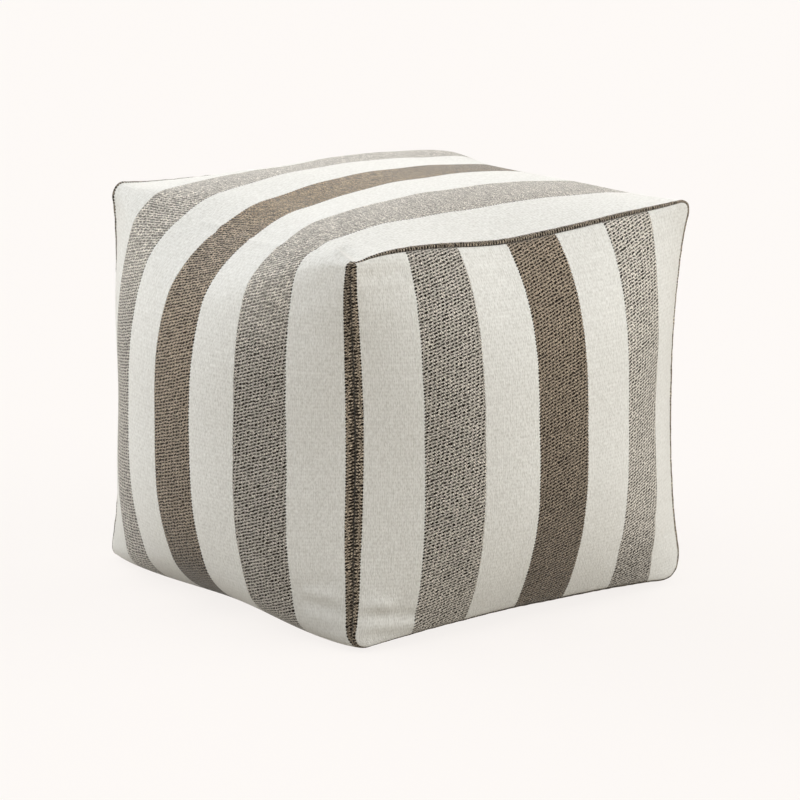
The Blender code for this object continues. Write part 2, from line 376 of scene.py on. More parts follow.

# %% [markdown]
# ## Soft folds
#
# A few shallow folds are laid in where the cloth really shows them: where the band is
# pinched at the corner in front, where the panel is pulled in under the top seam, and low on both
# faces beside the corner. Each is a short line on one face, with its own width and height, and
# they are kept soft. A slow swell all over keeps the large faces from looking machined.

# %% Lay in the folds
FACES = {
    "front": ((0, -1, 0), 0, 2),
    "back": ((0, 1, 0), 0, 2),
    "left": ((-1, 0, 0), 1, 2),
    "right": ((1, 0, 0), 1, 2),
    "top": ((0, 0, 1), 0, 1),
}
FOLDS = (
    # face, start and end in the face's own two directions, width, height: in metres
    # the panel, pulled in under the top seam and creased low beside the corner
    ("front", (-0.200, 0.384), (-0.166, 0.387), 0.0075, -0.0028),
    ("front", (-0.190, 0.366), (-0.150, 0.370), 0.0080, -0.0008),
    ("front", (-0.214, 0.050), (-0.186, 0.048), 0.0060, 0.0032),
    ("front", (-0.212, 0.040), (-0.152, 0.034), 0.0052, -0.0023),
    ("front", (-0.208, 0.027), (-0.150, 0.023), 0.0055, 0.0030),
    ("front", (-0.200, 0.014), (-0.158, 0.011), 0.0045, -0.0014),
    ("front", (0.090, 0.060), (0.150, 0.085), 0.0090, -0.0008),
    ("front", (0.150, 0.035), (0.185, 0.060), 0.0080, -0.0010),
    # the band, pinched at the corner in front and creased low beside it
    ("top", (-0.2140, -0.208), (-0.2105, -0.182), 0.0030, 0.0042),
    ("top", (-0.2065, -0.207), (-0.2000, -0.180), 0.0040, -0.0030),
    ("left", (-0.205, 0.386), (-0.150, 0.350), 0.0100, -0.0008),
    ("left", (-0.208, 0.052), (-0.172, 0.058), 0.0060, 0.0014),
    ("left", (-0.208, 0.041), (-0.165, 0.047), 0.0060, -0.0018),
    ("left", (-0.206, 0.028), (-0.172, 0.032), 0.0060, 0.0012),
    # a faint line where the top turns over into the left side
    ("top", (-0.2080, -0.014), (-0.2150, -0.092), 0.0040, 0.0015),
    ("top", (-0.2028, 0.056), (-0.2014, 0.026), 0.0040, 0.0013),
    ("left", (-0.150, 0.055), (-0.190, 0.070), 0.0080, -0.0008),
    ("left", (-0.120, 0.340), (-0.190, 0.318), 0.0120, -0.0008),
    # the sides that face away
    ("right", (-0.150, 0.060), (-0.190, 0.085), 0.0080, -0.0010),
    ("right", (0.130, 0.350), (0.190, 0.330), 0.0090, -0.0010),
    ("back", (-0.185, 0.355), (-0.140, 0.368), 0.0080, -0.0010),
    ("back", (0.150, 0.050), (0.190, 0.062), 0.0070, -0.0010),
)
SWELL_LENGTHS = (0.17, 0.13, 0.11, 0.085, 0.07)
SWELL_HEIGHT = 0.0007 / 3
SWELL_SEED = 11
# A fold shows where the cloth faces its way: not at all up to the first share, fully from the next.
FACING_FROM, FACING_FULLY = 0.3, 0.8
# Folds die away over these distances to a seam and to the floor.
QUIET_AT_SEAM, QUIET_AT_FLOOR = 0.03, 0.02


def fold_height(points, normals):
    """How far the folds and the swell raise the cloth at each point, in metres."""
    total = np.zeros(points.shape[:-1])
    for face, start, end, width, height in FOLDS:
        outward, first, second = FACES[face]
        facing = (normals @ np.array(outward) - FACING_FROM) / (FACING_FULLY - FACING_FROM)
        place = points[..., [first, second]] - np.array(start)
        run = np.array(end) - np.array(start)
        share = np.clip(place @ run / (run @ run), 0, 1)
        away = np.linalg.norm(place - share[..., None] * run, axis=-1)
        total += height * np.clip(facing, 0, 1) * np.exp(-((away / width) ** 2))
    random = np.random.default_rng(SWELL_SEED)
    swell = np.zeros_like(total)
    for length in SWELL_LENGTHS:
        way = random.normal(size=3)
        way /= np.linalg.norm(way)
        swell += np.sin(2 * math.pi * (points @ way / length + random.random()))
    return total + SWELL_HEIGHT * swell


print(len(FOLDS), "folds, up to", 1000 * max(abs(fold[4]) for fold in FOLDS), "mm")

# %% [markdown]
# ## Helpers for cloth meshes
#
# The cloth is a grid of points, with one direction along the stripes and one across. It needs
# three things: faces between the points, outward directions to raise and lower it, and a UV map
# that holds the flat cloth. The UV map is in metres, so the weave has its real size everywhere.

# %% Grid helpers
def directions(grid, closed):
    """Unit normals of a grid of points. Closed says that the first axis is a ring."""
    if closed:
        first = np.roll(grid, -1, axis=0) - np.roll(grid, 1, axis=0)
    else:
        first = np.gradient(grid, axis=0)
    normal = np.cross(first, np.gradient(grid, axis=1))
    return normal / np.maximum(np.linalg.norm(normal, axis=-1, keepdims=True), 1e-12)


def lengths_along(grid, axis):
    """How far each point is along its line, in metres, from the line's first point."""
    steps = np.linalg.norm(np.diff(grid, axis=axis), axis=-1)
    start = np.zeros_like(np.take(steps, [0], axis=axis))
    return np.concatenate([start, np.cumsum(steps, axis=axis)], axis=axis)


def cloth_piece(name, points, faces, flat):
    """An object from points and faces, with one UV for each corner of each face."""
    mesh = bpy.data.meshes.new(name)
    mesh.from_pydata(points.tolist(), [], faces)
    layer = mesh.uv_layers.new(name="Cloth")
    layer.data.foreach_set("uv", flat.reshape(-1).astype(np.float32))
    mesh.shade_smooth()
    mesh.update()
    piece = bpy.data.objects.new(name, mesh)
    bpy.context.scene.collection.objects.link(piece)
    return piece


# Close to a seam the points lie at these distances in mm, and from there on they are even.
SEAM_DISTANCES = np.array([0, 0.5, 1.0, 1.6, 2.3, 3.1, 4.0, 5.0, 6.2, 7.6, 9.4, 11.8, 14.8])
NEAR_SEAM = SEAM_DISTANCES / (1000 * HALF[1])
AWAY_FROM_SEAM = 0.084


def places(count):
    """Places from -1 to 1: close together at both seams, even between them."""
    inner = np.linspace(AWAY_FROM_SEAM - 1, 1 - AWAY_FROM_SEAM, count)
    return np.concatenate([NEAR_SEAM - 1, inner, 1 - NEAR_SEAM[::-1]])


print(len(NEAR_SEAM), "lines of points within", SEAM_DISTANCES[-1], "mm of a seam")

# %% [markdown]
# ## Laying out the band
#
# Each ring of the band is placed, and then the cloth is rolled down into the seams at both ends.
# The stripes are even between the two edge strips, so a point's place on the flat cloth is its
# share of the way between them.

# %% Lay out the band
STRIPE = 0.0635
STRIPED_HALF = 3.5 * STRIPE
BAND_COLUMNS = 101
PUCKER = 0.0004
PUCKER_PLACE, PUCKER_SPREAD = 0.008, 0.008
PUCKER_SEED, LIP_SEED = 5, 3
LIP_UNEVENNESS = 0.25
# A panel's direction at its seam is read from these rings of it, as shares of its full size.
PANEL_RINGS = (0.97, 0.985, 1.0)


def panel_normals_at_seam(end):
    """Outward directions of an end panel, along the seam."""
    rows = [settled(stuffed(*ring(end, scale)[:3])) for scale in PANEL_RINGS]
    normal = directions(np.stack(rows, axis=1), closed=True)[:, 2]
    return normal * np.sign(normal[:, 1:2] * end)


def puckers(end, share, distance):
    """Small waves along a seam that die away from it, in metres."""
    near = np.exp(-((distance - PUCKER_PLACE) ** 2) / (2 * PUCKER_SPREAD**2))
    return PUCKER * uneven(share, PUCKER_SEED + end) * near


def lay_out_band():
    """The band's points, their place across the flat cloth, its length, and each seam's outside."""
    rings = [ring(along) for along in places(BAND_COLUMNS)]
    band = np.stack([settled(stuffed(*found[:3])) for found in rings], axis=1)
    length = float(np.mean([found[3] for found in rings]))
    normal = directions(band, closed=True)
    normal *= np.sign((normal * (band - band.mean(axis=(0, 1)))).sum(-1).mean())
    from_front = lengths_along(band, 1)
    from_back = from_front[:, -1:] - from_front
    share = STEP_SHARES[:, None]

    front_strip = seam_size(-1, TURNS, BAND_STRIP)[:, None]
    back_strip = seam_size(1, TURNS, BAND_STRIP)[:, None]
    striped = from_front[:, -1:] - front_strip - back_strip
    flat_u = ((from_front - front_strip) / striped * 2 - 1) * STRIPED_HALF
    flat_u = np.where(from_front < front_strip, from_front - front_strip - STRIPED_HALF, flat_u)
    flat_u = np.where(from_back < back_strip, STRIPED_HALF + back_strip - from_back, flat_u)

    quiet = np.clip(np.minimum(from_front, from_back) / QUIET_AT_SEAM, 0, 1)
    quiet = quiet * np.clip(band[..., 2] / QUIET_AT_FLOOR, 0, 1)
    lift = fold_height(band, normal) * quiet
    shaped = band + lift[..., None] * normal
    seam_out = {}
    for end, distance in ((-1, from_front), (1, from_back)):
        at_seam = normal[:, 0 if end < 0 else -1]
        out = at_seam + panel_normals_at_seam(end)
        out /= np.linalg.norm(out, axis=-1, keepdims=True)
        seam_out[end] = out
        lip = seam_size(end, TURNS, LIP)[:, None]
        lip = lip * (1 + LIP_UNEVENNESS * uneven(share, LIP_SEED))
        raised = lip * np.exp(-(((distance - LIP_PLACE) / LIP_WIDTH) ** 2))
        raised = raised - seam_size(end, TURNS, BAND_GROOVE)[:, None] * rolled(distance)
        raised = raised + puckers(end, share, distance)
        near = np.clip(1 - distance / ROLL_REACH, 0, 1)[..., None]
        shaped = shaped + raised[..., None] * (normal * (1 - near) + out[:, None] * near)
    shaped[..., 2] = np.maximum(shaped[..., 2], 0.0)
    return shaped, flat_u, length, seam_out


band, band_u, band_length, seam_out = lay_out_band()
print("the band is", round(1000 * band_length), "mm round and laid out as", band.shape[:2])

# %% [markdown]
# ## Closing the band
#
# The band holds the filling, so it is made as one closed form. Behind each panel the filling is
# closed by a plain face that nobody sees, a little under the panel.

# %% Make the band
SEAM_FOOT = 0.003
CAP_SINK = 0.0045
CAP_EDGE_SINK = 0.0075
CAP_SCALES = (0.985, 0.95, 0.8, 0.6, 0.4, 0.2)
HIDDEN_U = STRIPED_HALF + 0.012


def cap_rings(end, edge):
    """The closing face behind a panel, from the seam inwards, and its middle point."""
    rings = [edge - SEAM_FOOT * seam_out[end]]
    for scale in CAP_SCALES:
        place = settled(stuffed(*ring(end, scale)[:3]))
        place[:, 1] -= end * (CAP_SINK if scale < CAP_SCALES[0] else CAP_EDGE_SINK)
        rings.append(place)
    centre = settled(stuffed(np.zeros(1), np.full(1, float(end)), np.zeros(1)))
    centre[:, 1] -= end * CAP_SINK
    return rings, centre


def make_band():
    count, wide = band.shape[:2]
    front_rings, front_middle = cap_rings(-1, band[:, 0])
    back_rings, back_middle = cap_rings(1, band[:, -1])
    rows = [*front_rings[::-1], *[band[:, column] for column in range(wide)], *back_rings]
    hidden = np.full(count, HIDDEN_U)
    flat_u = [-hidden] * len(front_rings) + [band_u[:, column] for column in range(wide)]
    flat_u = np.stack(flat_u + [hidden] * len(back_rings))
    flat_v = np.append(STEP_SHARES, 1.0) * band_length
    step = np.arange(count)
    following = (step + 1) % count
    faces, flat = [], []
    for row in range(len(rows) - 1):
        low, high = row * count, (row + 1) * count
        faces.append(np.stack([low + step, high + step, high + following, low + following], 1))
        across = np.stack(
            [flat_u[row], flat_u[row + 1], flat_u[row + 1][following], flat_u[row][following]], 1
        )
        along = np.stack([flat_v[step], flat_v[step], flat_v[step + 1], flat_v[step + 1]], 1)
        flat.append(np.stack([across, along], axis=-1).reshape(-1, 2))
    faces = np.concatenate(faces).tolist()
    pole, last = len(rows) * count, (len(rows) - 1) * count
    for a, b in zip(step.tolist(), following.tolist()):
        faces.append((pole, a, b))
        faces.append((pole + 1, last + b, last + a))
        flat.append(np.full((6, 2), [HIDDEN_U, flat_v[a]]))
    points = np.concatenate([*rows, front_middle, back_middle])
    return cloth_piece("striped_band", points, faces, np.concatenate(flat))


striped_band = make_band()
print("the band has", len(striped_band.data.polygons), "faces")

# %% [markdown]
# ## The end panels
#
# An end panel is one square of the same cloth, sewn in all round. Its stripes stand upright, and
# each point keeps its own distance from the panel's middle line, so the stripes spread where the
# panel bulges and close in again towards the top and the base. It is a real sheet, 2 mm thick.

# %% Lay out a panel
CLOTH = 0.002
PANEL_GAP = 0.0003
PANEL_ROWS = 99
PANEL_COLUMNS = 103
LAST_STRIPE = 2.5 * STRIPE
# Where the middle of a panel lies on the flat cloth, well apart from the band.
PANEL_CUT = -0.5
# A panel's edges draw back towards a point this far in front of the pouf's middle.
PANEL_PLANE = 0.25


def panel_grid(end):
    """Cube points of a panel: rows from the base up, whose ends follow the round corners."""
    ups, sides = places(PANEL_ROWS), places(PANEL_COLUMNS)
    bottom_right, top_right, top_left, bottom_left = SEAM_RADII[end]
    reach = []
    for top_radius, bottom_radius in ((top_left, bottom_left), (top_right, bottom_right)):
        radius = np.where(ups > 0, top_radius, bottom_radius)
        into_corner = np.maximum(np.abs(ups) - (1 - radius), 0)
        reach.append(1 - radius + np.sqrt(np.maximum(radius**2 - into_corner**2, 0)))
    across = np.where(sides < 0, sides * reach[0][:, None], sides * reach[1][:, None])
    up = np.broadcast_to(ups[:, None], across.shape)
    return settled(stuffed(across, np.full_like(across, float(end)), up))


def nearest_on_seam(seam_line, grid):
    """The nearest step of the seam for each point of the grid, and the distance to the seam."""
    tree = KDTree(len(seam_line))
    for number, place in enumerate(seam_line):
        tree.insert(place, number)
    tree.balance()
    flat_grid = grid.reshape(-1, 3)
    nearest = np.array([tree.find(place)[1] for place in flat_grid])
    tangent = np.roll(seam_line, -1, axis=0) - np.roll(seam_line, 1, axis=0)
    tangent = (tangent / np.linalg.norm(tangent, axis=1, keepdims=True))[nearest]
    away = flat_grid - seam_line[nearest]
    beside = (away * tangent).sum(1, keepdims=True)
    away = away - beside * tangent
    distance = np.linalg.norm(away, axis=1)
    return nearest.reshape(grid.shape[:2]), distance.reshape(grid.shape[:2])


def panel_flat(grid, end, nearest):
    """Where each point lies on the flat cloth: across from the middle line, and up."""
    middle_column, middle_row = grid.shape[1] // 2, grid.shape[0] // 2
    across = lengths_along(grid, 1)
    across = across - across[:, middle_column][:, None]
    up = lengths_along(grid, 0)
    up = up - up[middle_row][None] + PANEL_CUT
    for side, column in ((-1, 0), (1, -1)):
        strip = seam_size(end, TURNS[nearest[:, column]], PANEL_STRIP)[:, None]
        inner_edge = np.abs(across[:, column])[:, None] - strip
        share = (side * across - LAST_STRIPE) / (inner_edge - LAST_STRIPE)
        stretched = LAST_STRIPE + share * STRIPE
        stretched = np.where(share > 1, STRIPED_HALF + side * across - inner_edge, stretched)
        across = np.where(side * across > LAST_STRIPE, side * stretched, across)
    return across, up


print("a panel is laid out as", (len(places(PANEL_ROWS)), len(places(PANEL_COLUMNS))))

# %% [markdown]
# The panel's outer face is lowered into its seam, and a second face 2 mm further in makes it a
# sheet with a closed rim.

# %% Make the end panels
def make_panel(name, end):
    grid = panel_grid(end)
    normal = directions(grid, closed=False)
    normal *= np.sign(normal[..., 1:2] * end)
    seam_line = settled(stuffed(*ring(end)[:3]))
    nearest, distance = nearest_on_seam(seam_line, grid)
    flat_u, flat_v = panel_flat(grid, end, nearest)

    lift = fold_height(grid, normal) * np.clip(distance / QUIET_AT_SEAM, 0, 1)
    raised = puckers(end, STEP_SHARES[nearest], distance)
    raised = raised - seam_size(end, TURNS[nearest], PANEL_GROOVE) * rolled(distance)
    near = np.clip(1 - distance / ROLL_REACH, 0, 1)[..., None]
    way = normal * (1 - near) + seam_out[end][nearest] * near
    outer = grid + lift[..., None] * normal + raised[..., None] * way
    inwards = np.array([0, end * PANEL_PLANE, HALF[2]]) - grid
    inwards /= np.linalg.norm(inwards, axis=-1, keepdims=True)
    outer = outer + PANEL_GAP * near * inwards
    inner = outer - CLOTH * way
    outer[..., 2] = np.maximum(outer[..., 2], 0.0)

    rows, wide = grid.shape[:2]
    number = np.arange(rows * wide).reshape(rows, wide)
    corners = [number[:-1, :-1], number[:-1, 1:], number[1:, 1:], number[1:, :-1]]
    faces = np.stack(corners, axis=-1).reshape(-1, 4)
    rim = np.concatenate([number[0, :-1], number[:-1, -1], number[-1, :0:-1], number[:0:-1, 0]])
    after = np.roll(rim, -1)
    walls = np.stack([rim, rim + rows * wide, after + rows * wide, after], axis=-1)
    faces = np.concatenate([faces, faces[:, ::-1] + rows * wide, walls])
    if end > 0:
        faces = faces[:, ::-1]
    points = np.concatenate([outer.reshape(-1, 3), inner.reshape(-1, 3)])
    flat = np.stack([flat_u, flat_v], axis=-1).reshape(-1, 2)
    flat = np.concatenate([flat, flat])[faces.reshape(-1)]
    piece = cloth_piece(name, points, faces.tolist(), flat)
    print(name, len(faces), "faces, up to", round(1000 * float(flat_u.max())), "mm from its middle")
    return piece


front_panel = make_panel("striped_front_panel", -1)
back_panel = make_panel("striped_back_panel", 1)

# %% [markdown]
# ## The cloth
#
# The cloth is woven in wide stripes. The white ones are a fine, slightly pebbled plain weave. The
# gray and brown ones are coarse: pale grains of thick yarn on dark, in rows that climb a little.
# A weave is computed from the flat cloth's two coordinates, so it needs no picture and stays sharp
# from near. Each weave is one node group, and these helpers keep the code for nodes short.

# %% Helpers for node groups
def new_group(name, inputs, outputs):
    group = bpy.data.node_groups.new(name, "ShaderNodeTree")
    for title, kind, value in inputs:
        socket = group.interface.new_socket(title, in_out="INPUT", socket_type=kind)
        if value is not None:
            socket.default_value = value
    for title, kind in outputs:
        group.interface.new_socket(title, in_out="OUTPUT", socket_type=kind)
    start = group.nodes.new("NodeGroupInput")
    end = group.nodes.new("NodeGroupOutput")
    return group, start, end


class Nodes:
    """Short ways to add nodes to one tree."""

    def __init__(self, tree):
        self.tree = tree

    def put(self, socket, value):
        """Link an output to this socket, or set its value."""
        if isinstance(value, bpy.types.NodeSocket):
            self.tree.links.new(value, socket)
        elif value is not None:
            socket.default_value = value

    def math(self, operation, a, b=None, c=None, clamp=False):
        node = self.tree.nodes.new("ShaderNodeMath")
        node.operation = operation
        node.use_clamp = clamp
        for socket, value in zip(node.inputs, (a, b, c)):
            self.put(socket, value)
        return node.outputs[0]

    def times(self, first, *others):
        for other in others:
            first = self.math("MULTIPLY", first, other)
        return first

    def plus(self, first, *others):
        for other in others:
            first = self.math("ADD", first, other)
        return first

    def scaled(self, value, factor, offset):
        """The value times the factor, plus the offset."""
        return self.math("MULTIPLY_ADD", value, factor, offset)

    def rest(self, value):
        return self.math("SUBTRACT", 1.0, value)

    def wave(self, phase):
        """From 0 to 1 and back for each whole number, with the 1 halfway between two of them."""
        turned = self.times(self.math("FRACT", phase), 2 * math.pi)
        return self.scaled(self.math("COSINE", turned), -0.5, 0.5)

    def smooth(self, value, low, high):
        """From 0 at low to 1 at high, with soft ends. Low may be the larger one."""
        node = self.tree.nodes.new("ShaderNodeMapRange")
        node.interpolation_type = "SMOOTHSTEP"
        for socket, number in zip(node.inputs, (value, low, high)):
            self.put(socket, number)
        return node.outputs[0]

    def blend(self, factor, low, high):
        """A colour between two colours."""
        node = self.tree.nodes.new("ShaderNodeMix")
        node.data_type = "RGBA"
        self.put(node.inputs[0], factor)
        self.put(node.inputs[6], low)
        self.put(node.inputs[7], high)
        return node.outputs[2]

    def blend_value(self, factor, low, high):
        """A number between two numbers."""
        node = self.tree.nodes.new("ShaderNodeMix")
        for socket, value in zip(node.inputs, (factor, None, low, high)):
            self.put(socket, value)
        return node.outputs[0]

    def join(self, x, y, z=0.0):
        node = self.tree.nodes.new("ShaderNodeCombineXYZ")
        for socket, value in zip(node.inputs, (x, y, z)):
            self.put(socket, value)
        return node.outputs[0]

    def noise(self, where, scale, detail=0.0):
        """Soft noise from 0 to 1. The scale is in bumps for each unit of the place."""
        node = self.tree.nodes.new("ShaderNodeTexNoise")
        self.put(node.inputs["Vector"], where)
        node.inputs["Scale"].default_value = scale
        node.inputs["Detail"].default_value = detail
        return node.outputs["Fac"]

    def sway(self, where, scale, amount, detail=0.0):
        """Soft noise around 0, as wide from its lowest to its highest as the amount."""
        return self.scaled(self.noise(where, scale, detail), amount, -amount / 2)

    def chance(self, where):
        """One even random number from 0 to 1 for each place."""
        node = self.tree.nodes.new("ShaderNodeTexWhiteNoise")
        node.noise_dimensions = "3D"
        self.put(node.inputs["Vector"], where)
        return node.outputs["Value"]


def add_group(nodes, group, **values):
    """Place a group, with its inputs given by their names in small letters."""
    node = nodes.tree.nodes.new("ShaderNodeGroup")
    node.node_tree = group
    for title, value in values.items():
        nodes.put(node.inputs[title.replace("_", " ").capitalize()], value)
    return node.outputs


print("ready to build node groups")

# %% [markdown]
# Seen close, the coarse weave is a field of pale rice grains, in rows with short dark dashes
# between them. Rows stand 3.4 mm apart and climb to the right by about a third. Two grains fill
# 4.5 mm along a row, with one dash beside them, and no two are quite alike. The group takes its
# lengths in mm, and the numbers inside it are shares of a row or of a grain. The third number of a
# joined place only picks another part of the noise. The group puts out how pale the place is, how
# high the yarn stands there, and how near it is to the line of dashes, each from 0 to 1.

# %% Coarse weave
ROW_DRIFT, ROW_RIPPLE, ROW_CRIMP = 2.0, 0.50, 0.60
GRAIN_DRIFT, GRAIN_SHIFT = 0.80, 0.32
MARL, SLOW_TONE = 0.36, 0.20
THREAD_WIDTH, THREAD_LENGTH = 2.6, 17.0


def slanting_threads(n, u, v):
    """Here and there a pale thread lies slantwise over the rows."""
    slant = n.math("DIVIDE", n.plus(v, u), THREAD_WIDTH)
    run = n.math("DIVIDE", n.math("SUBTRACT", v, u), THREAD_LENGTH)
    run = n.plus(run, n.chance(n.join(n.math("FLOOR", slant), 9.2)))
    picked = n.chance(n.join(n.math("FLOOR", slant), n.math("FLOOR", run), 4.4))
    thread = n.times(n.smooth(n.wave(slant), 0.72, 0.95), n.smooth(n.wave(run), 0.30, 0.60))
    return n.times(thread, n.smooth(picked, 0.86, 0.90))


def coarse_weave_group():
    group, start, end = new_group(
        "Coarse weave",
        (
            ("Across", "NodeSocketFloat", None),
            ("Along", "NodeSocketFloat", None),
            ("Grain length", "NodeSocketFloat", 4.5),
            ("Row height", "NodeSocketFloat", 3.4),
            ("Climb", "NodeSocketFloat", 0.333),
            ("Lean", "NodeSocketFloat", 0.086),
            ("Wander", "NodeSocketFloat", 0.30),
        ),
        (("Pale", "NodeSocketFloat"), ("Height", "NodeSocketFloat"), ("Row", "NodeSocketFloat")),
    )
    n = Nodes(group)
    u, v = start.outputs["Across"], start.outputs["Along"]

    # Rows climb and drift. Along a row the grains lean, drift, and start anywhere.
    climbed = n.math("SUBTRACT", v, n.times(u, start.outputs["Climb"]))
    drift = n.times(n.sway(n.join(u, v), 0.075, 1.0, detail=2.0), start.outputs["Wander"])
    rows = n.plus(
        n.math("DIVIDE", climbed, start.outputs["Row height"]),
        n.times(drift, ROW_DRIFT),
        n.sway(n.join(u, v, 6.6), 0.16, ROW_RIPPLE),
        n.sway(n.join(v, u, 2.7), 0.36, ROW_CRIMP),
    )
    row = n.math("FLOOR", rows)
    leaned = n.math("SUBTRACT", u, n.times(v, start.outputs["Lean"]))
    grains = n.plus(
        n.math("DIVIDE", leaned, start.outputs["Grain length"]),
        n.sway(n.join(v, u, 8.3), 0.15, GRAIN_DRIFT, detail=1.0),
        n.times(n.chance(n.join(row, 3.7)), GRAIN_SHIFT),
    )
    halves = n.times(grains, 2.0)
    dash_chance = n.chance(n.join(n.math("FLOOR", grains), row, 1.3))
    half_chance = n.chance(n.join(n.math("FLOOR", halves), row, 7.9))
    join_chance = n.chance(n.join(n.math("FLOOR", n.plus(grains, 0.5)), row, 5.1))

    # The dark dash lies along the row line. Some dashes run on into the next.
    line = n.wave(rows)
    along_half = n.wave(halves)
    joined = n.times(n.math("POWER", join_chance, 3.0), 0.9)
    body = n.math("MAXIMUM", n.smooth(n.wave(grains), 0.02, 0.34), joined)
    body = n.times(body, n.scaled(along_half, 0.25, 0.75))
    strength = n.times(n.scaled(dash_chance, 0.30, 1.00), n.scaled(half_chance, 0.30, 0.85))
    dark = n.math("MULTIPLY", n.times(n.smooth(line, 0.30, 0.62), body), strength, clamp=True)

    # A thin dark gap parts two grains, and some grains are bright in their middle:
    # partly paler yarn, partly a painted highlight on the grain's top.
    between = n.rest(line)
    gap = n.times(n.math("POWER", n.rest(along_half), 2.0), between)
    gap = n.times(gap, n.scaled(half_chance, 0.60, 0.25))
    dark = n.math("ADD", gap, dark, clamp=True)
    pale_and_highlight = n.times(n.smooth(half_chance, 0.15, 0.90), along_half, n.smooth(between, 0.30, 0.75))
    marl = n.sway(n.join(u, v, 2.1), 0.45, MARL, detail=1.0)
    tone = n.sway(n.join(u, v, 5.5), 0.045, SLOW_TONE, detail=1.0)
    pale = n.plus(n.scaled(pale_and_highlight, 0.60, 0.60), marl, tone)
    pale = n.math("MULTIPLY", pale, n.rest(dark), clamp=True)
    pale = n.math("MULTIPLY_ADD", slanting_threads(n, u, v), 0.45, pale, clamp=True)

    height = n.scaled(n.times(between, along_half), 0.5, 0.5)
    n.put(end.inputs["Pale"], pale)
    n.put(end.inputs["Height"], n.math("SUBTRACT", height, n.times(dark, 0.5)))
    n.put(end.inputs["Row"], line)
    return group


coarse_weave = coarse_weave_group()
print("group", coarse_weave.name, "has", len(coarse_weave.nodes), "nodes")

# %% [markdown]
# The white stripes are a tight weave with small pebbles and, here and there, a thicker stretch of
# yarn that runs along the stripe. Both are faint, and so are the picks across and the cords along.

# %% Fine weave
PICK, CORD = 3.7, 2.25


def fine_weave_group():
    group, start, end = new_group(
        "Fine weave",
        (
            ("Across", "NodeSocketFloat", None),
            ("Along", "NodeSocketFloat", None),
            ("Pebble", "NodeSocketFloat", 0.85),
        ),
        (("Pale", "NodeSocketFloat"),),
    )
    n = Nodes(group)
    u, v = start.outputs["Across"], start.outputs["Along"]
    across = n.math("DIVIDE", u, start.outputs["Pebble"])
    along = n.math("DIVIDE", v, start.outputs["Pebble"])
    pebbles = n.noise(n.join(across, n.times(along, 0.40)), 0.62, 1.0)
    thick_yarn = n.noise(n.join(n.times(u, 0.42), n.times(v, 0.11), 4.2), 1.0, 1.0)
    pale = n.scaled(pebbles, 0.62, 0.02)
    pale = n.plus(pale, n.times(thick_yarn, 0.30))
    pale = n.plus(pale, n.times(n.wave(n.math("DIVIDE", v, PICK)), 0.05))
    cords = n.times(n.wave(n.math("DIVIDE", u, CORD)), 0.05)
    pale = n.math("ADD", pale, cords, clamp=True)
    n.put(end.inputs["Pale"], n.smooth(pale, 0.22, 0.80))
    return group


fine_weave = fine_weave_group()
print("group", fine_weave.name, "has", len(fine_weave.nodes), "nodes")

# %% [markdown]
# ## Painted light and shade along the cloth
#
# Light and shade are painted into the coloured yarn, so one stripe isn't the same from end
# to end. The brown is painted paler high up and darker low down, a warmer lit copy on the top,
# and darker on the far right of the top, against the sheen there. The gray is painted darker
# down the left side and paler on the top, and the right gray stripe of a panel is painted paler,
# with painted shade at its foot. These changes are soft masks on the flat cloth. Along the band,
# in mm, the middle of the base is at 0, the four folds are at about 218, 628, 1081 and 1493, and
# the ring closes at 1716. The middle of a panel is at -500.

# %% Stretches of the cloth
TOP = ((600, 720), (1210, 1120))
FLAT_TOP = ((560, 650), (1090, 980))
RIGHT_OF_TOP = ((560, 650), (900, 730))
SHOULDER = ((930, 1010), (1160, 1100))
HIGH_ON_LEFT = ((970, 1090), (1360, 1120))
LEFT_SIDE = ((1100, 1350), (1720, 1640))
FROM_SHOULDER_DOWN = ((1060, 1250),)
LOW_ON_LEFT = ((1370, 1470),)
LEFT_FOOT = ((1390, 1480),)
RIGHT_FOOT = ((-50, 0), (290, 200))
PANEL = ((-100, -200),)
LOW_ON_PANEL = ((-600, -670),)
PANEL_FOOT = ((-610, -690),)
PANEL_HALF_HEIGHT = 220.0

# Painted light and shade on each stretch: paler where light falls, darker where shade falls or the
# sheen is too strong.
BROWN_LIGHT_AND_SHADE = ((HIGH_ON_LEFT, 0.50), (RIGHT_OF_TOP, -0.42), (LOW_ON_LEFT, -0.62))
GRAY_LIGHT_AND_SHADE = ((FROM_SHOULDER_DOWN, -0.14), (LOW_ON_LEFT, -0.06))
# Painted light up a panel's brown, and on its right gray stripe, with painted shade at that
# stripe's foot.
BROWN_LIGHT_UP_PANEL = 0.34
RIGHT_GRAY_LIGHT, RIGHT_GRAY_FOOT_SHADE = 0.30, -0.50


def on(n, v, stretch):
    """1 on this stretch of the cloth, and 0 beyond its soft ends."""
    return n.times(*[n.smooth(v, low, high) for low, high in stretch])


def shade_near_floor(n, v):
    """Painted shade near the floor: 1 where the band turns in to it, and half at a panel's foot."""
    band_foot = n.math("MAXIMUM", on(n, v, LEFT_FOOT), on(n, v, RIGHT_FOOT))
    return n.math("MAXIMUM", band_foot, n.times(on(n, v, PANEL_FOOT), 0.5))


